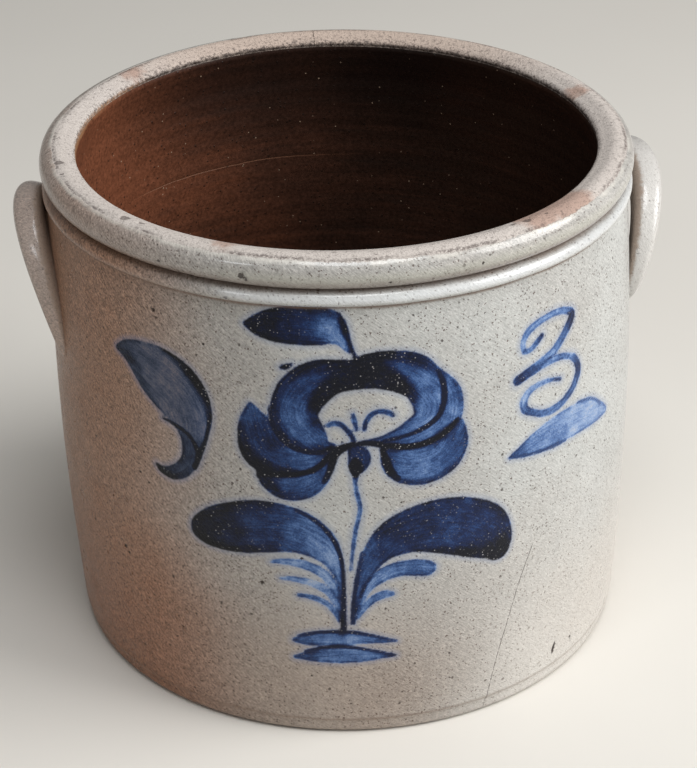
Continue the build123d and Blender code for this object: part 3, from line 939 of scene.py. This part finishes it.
lug = {
    "thickness": 14.4,
    "width": 20.5,
    "tipShare": 0.25,
    "taper": 0.6,          # below 1 the roll keeps its width further down its legs
    "tipSink": 1.4,
    "stations": 21,
    "corners": 32,
    "squareness": 3.8,     # 2 is an ellipse, and more gives the roll its soft long ridges
    "grainStep": 12.0,     # along the roll, from one station to the next
    "innerColour": (158, 139, 124),
    "innerStrength": 0.85,
    "outerHighlight": (216, 211, 206),
    "outerHighlightSide": (-0.4, 0.1),     # X, the right lug is painted paler, a painted highlight over its own light glaze
    "outerHighlightStrength": 0.5,
    "scuffedSide": (0.05, -0.1),  # X, the left lug is scuffed
    "scuffStrength": 0.4,
    "sides": {             # each hand-made arch has its own values: degrees and mm
        "lug_right_clay": {"bearing": 4.0, "halfSpan": 18.5, "crown": 218.0, "tip": 165.5, "gap": 4.9,
                           "bow": 0.7, "twist": -12.0},
        "lug_left_clay": {"bearing": 176.5, "halfSpan": 16.5, "crown": 217.5, "tip": 155.0, "gap": 1.6,
                          "bow": 1.2, "twist": 45.0},
    },
}


# where one section of the roll stands, how it is turned, and its two half sizes
def lugStation(turn, made):
    arch, lead = max(0.0, math.cos(turn)), math.sin(turn)
    share = lug["tipShare"] + (1 - lug["tipShare"]) * arch ** lug["taper"]
    halfSpan = math.radians(made["halfSpan"])
    tipRadius = wallRadius(made["tip"]) - lug["thickness"] * lug["tipShare"] / 2 - lug["tipSink"]
    reach = wallRadius(made["crown"]) + made["gap"] + lug["thickness"] / 2 - tipRadius
    radius = tipRadius + reach * arch ** made["bow"]
    flare = made["bow"] * max(0.02, arch) ** (made["bow"] - 1)
    rise = made["crown"] - made["tip"]
    side = math.radians(made["bearing"]) + halfSpan * lead
    outward = Vector((math.cos(side), math.sin(side), 0))
    sideways = Vector((-math.sin(side), math.cos(side), 0))
    middle = outward * radius + Vector((0, 0, made["tip"] + rise * arch))
    along = (sideways * radius * halfSpan * arch - outward * reach * lead * flare
             - Vector((0, 0, rise * lead))).normalized()
    facing = (outward - along * outward.dot(along)).normalized()
    turned = Matrix((facing, along.cross(facing), along)).transposed()
    turned = turned @ Matrix.Rotation(math.radians(made["twist"]) * lead, 3, "Z")
    return middle, turned, lug["thickness"] / 2 * share, lug["width"] / 2 * share


def makeLug(name, node):
    turns = [math.pi * (step / (lug["stations"] - 1) - 0.5) for step in range(lug["stations"])]
    stations = [lugStation(turn, lug["sides"][name]) for turn in turns]
    deselectAll()
    for order, (middle, turned, thick, wide) in enumerate(stations):
        bpy.ops.mesh.primitive_circle_add(vertices=lug["corners"], radius=1, location=middle * mm,
                                          rotation=turned.to_euler(), scale=(thick * mm, wide * mm, 1))
        if order == 0:
            roll = bpy.context.object
            bpy.ops.object.transform_apply()
            bpy.ops.object.mode_set(mode="EDIT")
    bpy.ops.mesh.select_all(action="SELECT")
    bpy.ops.mesh.bridge_edge_loops()
    bpy.ops.mesh.fill_holes(sides=0)
    bpy.ops.mesh.normals_make_consistent(inside=False)
    bpy.ops.object.mode_set(mode="OBJECT")

    places = readPoints(roll)
    inner = np.zeros(len(places))
    grain = np.zeros((len(places), 3))
    for order, (middle, turned, thick, wide) in enumerate(stations):
        ring = slice(order * lug["corners"], (order + 1) * lug["corners"])
        flat = (places[ring] - np.array(middle)) @ np.array(turned)
        circle = flat[:, :2] / (thick, wide)
        circle /= np.hypot(*circle.T)[:, None]
        power = lug["squareness"]
        squared = circle / (np.abs(circle) ** power).sum(1)[:, None] ** (1 / power)
        flat[:, :2] = squared * (thick, wide)
        places[ring] = flat @ np.array(turned).T + np.array(middle)
        inner[ring] = -circle[:, 0]
        grain[ring, 0] = order * lug["grainStep"]
        grain[ring, 1] = np.arctan2(circle[:, 1], circle[:, 0]) * (thick + wide) / 2
    storeValues(roll, "innerSide", inner)
    storeValues(roll, "grainPlace", grain)
    writePoints(roll, leanOver(places))
    smooth = roll.modifiers.new("smooth", "SUBSURF")
    smooth.levels = smooth.render_levels = 2
    bpy.ops.object.modifier_apply(modifier="smooth")
    bpy.ops.object.shade_smooth()
    roll.data.materials.append(lugClay())
    return namePiece(name, "salt_glazed_stoneware", node)


# Finishes. Colours are as read off a screen, levels and reaches are in mm, and X, Y and Z in metres

glaze = {
    "pale": (210, 214, 213),
    # a painted highlight along the bead
    "bead": (226, 228, 230),
    "grey": (177, 173, 168),
    "tan": (160, 124, 102),
    "rust": (136, 94, 70),
    "lowTinge": (244, 228, 218),
    "lowPale": (242, 232, 222),
    "speck": (44, 31, 25),
    "freckle": (84, 62, 50),
    "halo": (104, 130, 176),
    # brown glaze gathered in the creases, darkened further as painted shade
    "creaseStainShade": (104, 76, 56),
    "land": (202, 193, 186),
    "landBack": (192, 174, 161),
    "landBlush": (180, 154, 141),
    "band": (186, 185, 172),
    "landDirt": (92, 82, 78),
    "landEdge": (218, 213, 204),
    "roughness": 0.3,
    "specular": 0.24,
    "bump": 0.8,
    # where the tones of the wall lie, each as (from, to)
    "warmShadedSide": (-0.03, -0.135),     # X, the left side is tan and darker: partly the fire's flashing, partly painted shade away from the light
    "bandLevels": (0.2335, 0.237),   # Z, the band of the rim is cooler on that side
    "bandCooler": -0.6,
    "bandWarmth": 0.18,
    "lowLevels": (0.12, 0.02),       # Z and X, the wall is warmer low down on the left,
    "lowSide": (0.08, -0.02),
    "lowWarmth": 0.16,
    "paleLevels": (0.175, 0.07),     # and paler low down on the right
    "paleSide": (0.02, 0.08),
    "paleDrift": 0.09,
    "paleStrength": 0.34,
    "glossLevels": (0.224, 0.231),   # Z, the glaze shines from here up
    "shine": 0.8,            # the rim and the lugs took the most salt, so they shine the most
    "shineRoughness": 0.16,
    "bareRoughness": 0.35,   # added where the glaze has worn off
    "grainTurn": 40.0,       # degrees between the wall's grain and its level
    "speckShake": 1.2,       # mm, how far the outline of an iron speck strays
    "speckCore": 0.45,
    "speckStrength": 0.8,
    "speckRise": -0.2,
    "specks": [              # (cells to the metre, size, rarity, colour)
        (620, 0.28, 0.35, "freckle"), (330, 0.19, 0.4, "freckle"), (260, 0.15, 0.45, "speck"),
        (120, 0.11, 0.45, "speck"), (50, 0.055, 0.5, "speck")],
    "rings": [               # rings round the crock, brown glaze with painted shade in the creases, a painted highlight on the bead and the band's own grey: (level, reach, strength, colour)
        (240.5, 4.5, 0.45, "band"), (231.0, 3.4, 0.5, "bead"), (226.9, 1.5, 0.75, "creaseStainShade"),
        (234.6, 2.2, 0.7, "creaseStainShade"), (237.4, 3.2, 0.38, "creaseStainShade"), (8.4, 1.6, 0.35, "creaseStainShade")],
    "coolRings": ["band", "bead"],   # these show only on the cool side of the fire
}


# Warmth runs from the cool grey side of the fire to the tan side, whose darker tan is partly painted shade
def makeSaltGlaze():
    group, given, result = newGroup("saltGlaze", {"Warmth": "Float"},
                                    {"Color": "Color", "Roughness": "Float", "Height": "Float"})
    where = put(group, "TexCoord").outputs["Object"]
    patch = noise(where, 60, 4, 0.6)
    sand = noise(where, 1000, 3, 0.7)
    turned = put(group, "Mapping", {"Vector": attribute(group, "grainPlace", "Vector"),
                                    "Rotation": (0, 0, math.radians(glaze["grainTurn"]))})
    grain = noise(stretch(turned.outputs["Vector"], (0.35, 1.5, 0.6)), 1.0, 3, 0.65)
    warmth = waver(noise(where, 11, 3), 0.5, given["Warmth"])
    colour = mixColour(between(warmth, -0.3, 0.25), glaze["pale"], glaze["grey"])
    # tan where the glaze is warm, and darker: partly the glaze's own flashing, partly painted shade on the
    # side away from the light
    colour = stain(colour, glaze["tan"], between(warmth, 0.2, 1.0))
    colour = stain(colour, glaze["rust"], between(patch, 0.5, 0.8), between(warmth, 0.5, 1.1), 0.45)
    coarse = addTo(times(between(warmth, -0.2, 0.45), 0.18), between(warmth, 0.4, 0.9), 0.12)
    for pattern, darkest, lightest in ((grain, 0.88, 1.08), (sand, 0.88, 1.04)):
        colour = dapple(colour, pattern, 0.34, 0.66, addTo(darkest, coarse, -1.0), addTo(lightest, coarse))
    colour = dapple(colour, patch, 0.0, 1.0, 0.88, 1.1)
    feed(result["Color"], colour)
    feed(result["Roughness"], addTo(glaze["roughness"] - 0.1, patch, 0.2))
    feed(result["Height"], addTo(addTo(times(grain, 0.34), noise(where, 700, 2), 0.14), sand, 0.08))
    return group


saltGlaze = makeSaltGlaze()


# the glaze with its iron specks, whose outlines are shaken so that they aren't round
def coatClay(tree, where, warmth):
    coat = useGroup(tree, saltGlaze, {"Warmth": warmth})
    shaken = put(tree, "VectorMath", operation="MULTIPLY_ADD")
    shake = [glaze["speckShake"] * mm] * 3
    for socket, value in zip(shaken.inputs, (noise(where, 1500, 1.0, output="Color"), shake, where)):
        feed(socket, value)
    colour, height = addSpecks(shaken.outputs["Vector"], glaze, coat["Color"], coat["Height"])
    return colour, coat["Roughness"], height


def finishClay(shader, colour, roughness, height, bare, gloss):
    finishShader(shader, glaze, colour, addTo(roughness, bare, glaze["bareRoughness"]), height)
    feed(shader.inputs["Coat Weight"], times(gloss, glaze["shine"]))
    shader.inputs["Coat Roughness"].default_value = glaze["shineRoughness"]


ink = {
    "warmed": (226, 184, 160),      # over the tan side of the crock the blue turns browner,
    "warmedSide": (-0.05, -0.09),   # from one X to the other
    "pitsAndGlints": (196, 194, 196),
    "pitsAndGlintsStrength": 0.75,
    "edgeWobble": 0.9,              # mm that the edges of the strokes stray, broadly and finely
    "edgeGrain": 0.8,
    "streaks": 0.4,                 # how far the depth of colour changes along the brush's way,
    "mottle": 0.75,                 # from place to place
    "grain": 0.42,                  # and from grain to grain
    "pooled": 0.2,                  # it is this much deeper where it gathered along the edges
    "haloReach": 3.4,               # mm
    "haloStrength": 0.3,
    "stops": [                      # from a thin wash to a loaded brush
        (0.0, (178, 185, 197)), (0.18, (138, 162, 200)), (0.36, (84, 116, 168)), (0.52, (40, 70, 120)),
        (0.68, (14, 35, 78)), (0.84, (3, 15, 46)), (1.0, (3, 7, 22))],
}


def ramp(value, stops):
    made = put(value.id_data, "ValToRGB", {"Fac": value})
    elements = made.color_ramp.elements
    while len(elements) < len(stops):
        elements.new(0.5)
    for element, (place, colour) in zip(elements, stops):
        element.position, element.color = place, tint(colour)
    return made.outputs["Color"]


# cobalt under the glaze: uneven edges where it pooled, a faint bleed, streaks along each stroke
def addCobalt(tree, where, colour, aged):
    wobble, fine = noise(where, 300, 3, 0.6), noise(where, 1400, 3, 0.7)
    shift = waver(fine, ink["edgeGrain"], waver(wobble, ink["edgeWobble"]))
    edge = addTo(attribute(tree, "paintEdge"), shift)
    line = addTo(attribute(tree, "lineEdge"), shift, 0.8)
    streak = noise(stretch(attribute(tree, "brushCourse", "Vector"), (0.07, 0.85, 1.0)), 1.0, 3, 0.6, 0.5)
    mottle = noise(where, 95, 5, 0.72)
    tone = attribute(tree, "paintTone")
    for pattern, amount in ((streak, "streaks"), (mottle, "mottle"), (fine, "grain")):
        tone = waver(pattern, ink[amount], tone)
    tone = addTo(tone, times(between(edge, 2.2, 0.4), between(mottle, 0.3, 0.6)), ink["pooled"])
    darker = calc("MAXIMUM", calc("SUBTRACT", attribute(tree, "lineTone"), tone), 0.0)
    tone = addTo(tone, darker, between(line, -0.5, 0.7))
    blue = mixColour(aged, ramp(tone, ink["stops"]), ink["warmed"], "MULTIPLY")
    # pale specks in the dark cobalt: partly pits, partly painted glints
    cells = put(tree, "TexVoronoi", {"Vector": where, "Scale": 620}).outputs["Distance"]
    blue = stain(blue, ink["pitsAndGlints"], between(cells, 0.26, 0.1), between(tone, 0.45, 0.95),
                 between(wobble, 0.44, 0.62), ink["pitsAndGlintsStrength"])
    colour = stain(colour, glaze["halo"], between(edge, -ink["haloReach"], 0.2), ink["haloStrength"])
    return stain(colour, blue, between(edge, -0.5, 0.6))


wear = {
    "edgeGrain": 1.6,       # mm that the edge of the worn flat strays, finely and broadly
    "edgeDrift": 2.4,
    "blushDrift": 20.0,
    "grimeStrength": 0.7,   # dirt in patches, as dust, and gathered along the edge
    "dustStrength": 0.34,
    "seamStrength": 0.75,
    "crustStrength": 0.65,  # the pale ragged end of the glaze
    "lipStrength": 0.7,
    "rises": (-0.4, 0.15, 0.5),   # of the worn flat, of the crust and of the dirt
    "damageJag": 1.6,       # mm that the outlines of pits, chips and cracks stray
    "damageRise": -0.3,
}


# the rim's worn flat inside its ragged glaze edge, and the slip that runs over the inner lip
def addWear(tree, where, colour, height, warmth, dirt):
    fine = waver(noise(where, 480, 3, 0.7), wear["edgeGrain"])
    edge = addTo(attribute(tree, "landEdge"), waver(noise(where, 70, 3, 0.6), wear["edgeDrift"], fine))
    behind = attribute(tree, "behind")
    worn = mixColour(between(behind, 0.4, 1.0), glaze["land"], glaze["landBack"])
    blush = waver(noise(where, 90, 4, 0.7), wear["blushDrift"], attribute(tree, "blushEdge"))
    worn = stain(worn, glaze["landBlush"], between(blush, -4.0, 4.0))
    grime = addTo(dirt, times(between(edge, 3.0, 9.0), between(behind, 0.2, 0.9)), 0.05)
    dust = noise(where, 1500, 2, 0.6)
    worn = stain(worn, glaze["landDirt"], between(grime, 0.52, 0.7), wear["grimeStrength"])
    worn = stain(worn, glaze["landDirt"], between(dust, 0.52, 0.66), wear["dustStrength"])
    worn = stain(worn, glaze["landDirt"], between(edge, 0.0, 0.6), between(edge, 2.4, 1.0),
                 between(dirt, 0.38, 0.52), between(noise(where, 45, 3), 0.36, 0.6),
                 wear["seamStrength"])
    crust = times(between(edge, -2.2, -0.5), between(edge, 0.3, -0.2),
                  between(noise(where, 55, 3), 0.36, 0.62))
    land = between(edge, -0.2, 0.25)
    colour = stain(stain(colour, glaze["landEdge"], crust, wear["crustStrength"]), worn, land)
    for mask, rise in zip((land, crust, times(land, dirt)), wear["rises"]):
        height = addTo(height, mask, rise)
    lip = addTo(attribute(tree, "lipEdge"), fine, 0.6)
    brown = mixColour(between(warmth, 0.36, 0.5), slip["dark"], slip["bare"])
    colour = stain(colour, brown, between(lip, -0.2, 0.3))
    colour = stain(colour, glaze["landDirt"], between(lip, -1.3, -0.2), between(dirt, 0.46, 0.6),
                   wear["lipStrength"])
    return colour, height, land


# painted shade with brown glaze in the creases, a painted highlight on the bead, and the band's own grey
def addRings(tree, where, colour, warmth):
    level = addTo(attribute(tree, "levelHere"), waver(noise(where, 60, 3), 1.6))
    for middle, reach, strength, shadeName in glaze["rings"]:
        gap = calc("ABSOLUTE", calc("SUBTRACT", level, middle))
        ring = times(between(gap, reach, 0.0), strength)
        if shadeName in glaze["coolRings"]:
            ring = times(ring, between(warmth, 0.42, 0.2))
        colour = stain(colour, glaze[shadeName], ring)
    return colour


# pits, chips and cracks
def addDamage(tree, where, colour, height, dirt):
    jagged = waver(noise(where, 700, 3, 0.7), wear["damageJag"])
    pit = between(addTo(attribute(tree, "pitEdge"), jagged), -0.1, 0.4)
    chip = between(addTo(attribute(tree, "chipEdge"), jagged), -0.2, 0.5)
    side = calc("ABSOLUTE", addTo(attribute(tree, "crackSide"), jagged, 0.25))
    crack = times(between(side, 0.32, 0.12), attribute(tree, "crackFade"), between(dirt, 0.34, 0.56))
    for mask, shadeName, strength in ((pit, "speck", 0.92), (chip, "landDirt", 0.7),
                                      (crack, "speck", 0.75)):
        colour = stain(colour, glaze[shadeName], mask, strength)
        height = addTo(height, mask, wear["damageRise"])
    return colour, height


# the wall is warm on the left and low down, and its rim is cooler there than the wall below it; the tan
# left is partly painted shade
def paintedClay():
    material, tree, shader = newMaterial("saltGlazedClay")
    where, spot = ownPlace(tree)
    onBand = between(spot["Z"], *glaze["bandLevels"])
    low = times(between(spot["Z"], *glaze["lowLevels"]), between(spot["X"], *glaze["lowSide"]))
    warmth = times(between(spot["X"], *glaze["warmShadedSide"]), addTo(1.0, onBand, glaze["bandCooler"]))
    warmth = addTo(addTo(warmth, onBand, glaze["bandWarmth"]), low, glaze["lowWarmth"])
    colour, roughness, height = coatClay(tree, where, warmth)
    colour = mixColour(low, colour, glaze["lowTinge"], "MULTIPLY")
    drifted = addTo(spot["Z"], noise(where, 14, 4, 0.6), glaze["paleDrift"])
    colour = stain(colour, glaze["lowPale"], between(drifted, *glaze["paleLevels"]),
                   between(spot["X"], *glaze["paleSide"]), glaze["paleStrength"])
    colour = addCobalt(tree, where, colour, between(spot["X"], *ink["warmedSide"]))
    dirt = noise(where, 620, 4, 0.75)
    colour, height, bare = addWear(tree, where, colour, height, warmth, dirt)
    colour = addRings(tree, where, colour, warmth)
    colour, height = addDamage(tree, where, colour, height, dirt)
    gloss = times(between(spot["Z"], *glaze["glossLevels"]), addTo(1.0, bare, -1.0))
    finishClay(shader, colour, roughness, height, bare, gloss)
    return material


# the lugs are bare and brown on the side that faces the wall, the left one is scuffed, and the right one
# is painted paler as a painted highlight over its own light glaze
def lugClay():
    material, tree, shader = newMaterial("saltGlazedLug")
    where, spot = ownPlace(tree)
    # the left lug is tan too, the more so low down: partly its own flashing, partly painted shade
    warmth = times(between(spot["X"], *glaze["warmShadedSide"]), spread(spot["Z"], 0.16, 0.2, 0.95, 0.65))
    colour, roughness, height = coatClay(tree, where, warmth)
    bare = between(waver(noise(where, 500, 3, 0.7), 0.6, attribute(tree, "innerSide")), 0.38, 0.66)
    # painted highlight: the right lug is painted paler
    colour = stain(colour, lug["outerHighlight"], between(spot["X"], *lug["outerHighlightSide"]), lug["outerHighlightStrength"])
    colour = stain(colour, lug["innerColour"], bare, lug["innerStrength"])
    course = attribute(tree, "grainPlace", "Vector")
    scuffs = between(noise(stretch(course, (0.9, 0.16, 1)), 1.0, 4, 0.75), 0.56, 0.68)
    dirt = calc("MAXIMUM", scuffs, between(noise(where, 950, 3, 0.7), 0.57, 0.66))
    colour = stain(colour, glaze["landDirt"], dirt, between(spot["X"], *lug["scuffedSide"]),
                   lug["scuffStrength"])
    finishClay(shader, colour, roughness, height, bare, addTo(1.0, bare, -1.0))
    return material


slip = {
    # a red-brown that shows on the left of the inside: partly thinner slip, partly painted light
    "litRed": (120, 72, 50),
    "brown": (76, 48, 36),
    "dark": (42, 30, 24),
    "bare": (158, 118, 86),
    "speck": (170, 146, 124),
    "spot": (26, 18, 14),
    "scratch": (140, 98, 74),
    # painted shade on the inside at the back, and on the coat's top edge there
    "paintedShade": (16, 9, 7),
    # where the tones of the lining lie, each as (from, to), and how strong they are
    "litRedSide": (0.08, -0.13),      # X, the left inside is redder and lighter: partly thinner slip, partly painted light
    "paintedShadeLevels": (175.0, 228.0),  # and Y, painted shade: the back is darkest just under the rim
    "paintedShadeBehind": (0.055, 0.118),
    "paintedShadeStrength": 0.75,
    "scratchBehind": (0.082, 0.1),
    "scratchSide": (0.04, -0.03),
    "scratchStrength": 0.55,
    "thinSide": (-0.06, -0.115),   # X and Y, the slip ran thin at its edge on the left
    "thinFront": (0.09, 0.02),
    "thinDrift": 9.0,              # mm
    "thinStrength": 0.85,
    # Y, where the coat's top edge gets painted shade at the back
    "brimBehind": (-0.02, 0.09),
    "roughness": 0.4,
    "specular": 0.35,
    "bump": 0.7,
    "speckCore": 0.4,
    "speckStrength": 0.75,
    "speckRise": 0.15,
    "specks": [              # (cells to the metre, size, rarity, colour)
        (90, 0.055, 0.6, "speck"), (260, 0.13, 0.8, "speck"), (300, 0.22, 0.35, "spot"),
        (150, 0.13, 0.5, "spot"), (60, 0.07, 0.6, "spot")],
}


def brownSlip():
    material, tree, shader = newMaterial("brownSlip")
    where, spot = ownPlace(tree)
    level = attribute(tree, "levelHere")
    cloud = noise(where, 22, 4, 0.6)
    rings = noise(stretch(where, (14, 14, 330)), 1.0, 4, 0.7)
    grain = noise(where, 600, 3, 0.65)
    # the left inside is painted redder and lighter: partly thinner slip, partly painted light falling in
    # over the rim
    litRedness = waver(rings, 0.6, waver(cloud, 0.7, between(spot["X"], *slip["litRedSide"])))
    colour = mixColour(between(litRedness, -0.1, 0.5), slip["dark"], slip["brown"])
    colour = stain(colour, slip["litRed"], between(litRedness, 0.35, 1.1))
    colour = dapple(colour, grain, 0.25, 0.75, 0.5, 1.45)
    # painted shade on the back of the inside, darkest just under the rim
    colour = stain(colour, slip["paintedShade"], between(level, *slip["paintedShadeLevels"]),
                   between(spot["Y"], *slip["paintedShadeBehind"]), slip["paintedShadeStrength"])
    apart = calc("ABSOLUTE", calc("SUBTRACT", waver(cloud, 2.4, level), lining["scratchLevel"]))
    scratch = times(between(apart, 0.5, 0.1), between(spot["Y"], *slip["scratchBehind"]),
                    between(spot["X"], *slip["scratchSide"]))
    colour = stain(colour, slip["scratch"], scratch, slip["scratchStrength"])
    top = lining["topLevel"]
    ragged = waver(noise(where, 34, 4, 0.6), slip["thinDrift"], level)
    colour = stain(colour, slip["bare"], between(ragged, top - 2.6, top - 0.6),
                   spread(spot["X"], *slip["thinSide"], 0.0, slip["thinStrength"]),
                   between(spot["Y"], *slip["thinFront"]))
    height = addTo(addTo(times(grain, 0.12), rings, 0.12), scratch, -0.2)
    colour, height = addSpecks(where, slip, colour, height)
    # painted shade along the coat's top edge at the back, where it would catch the light; it is rougher
    # there too
    brim = between(level, top - 0.9, top - 0.2)
    colour = stain(colour, slip["paintedShade"], brim, between(spot["Y"], *slip["brimBehind"]))
    roughness = addTo(addTo(slip["roughness"] - 0.1, brim, 0.5), grain, 0.2)
    finishShader(shader, slip, colour, roughness, height)
    return material


setCamera()
lightStudio()
print("camera and light set")
body = makeBody()
print("body turned and painted:", len(body.data.polygons), "faces")
coat = makeLining()
print("lining made:", len(coat.data.polygons), "faces")
for lugName, nodeName in (("lug_right_clay", "handle_right"), ("lug_left_clay", "handle_left")):
    roll = makeLug(lugName, nodeName)
    print(lugName, "made:", len(roll.data.polygons), "faces")
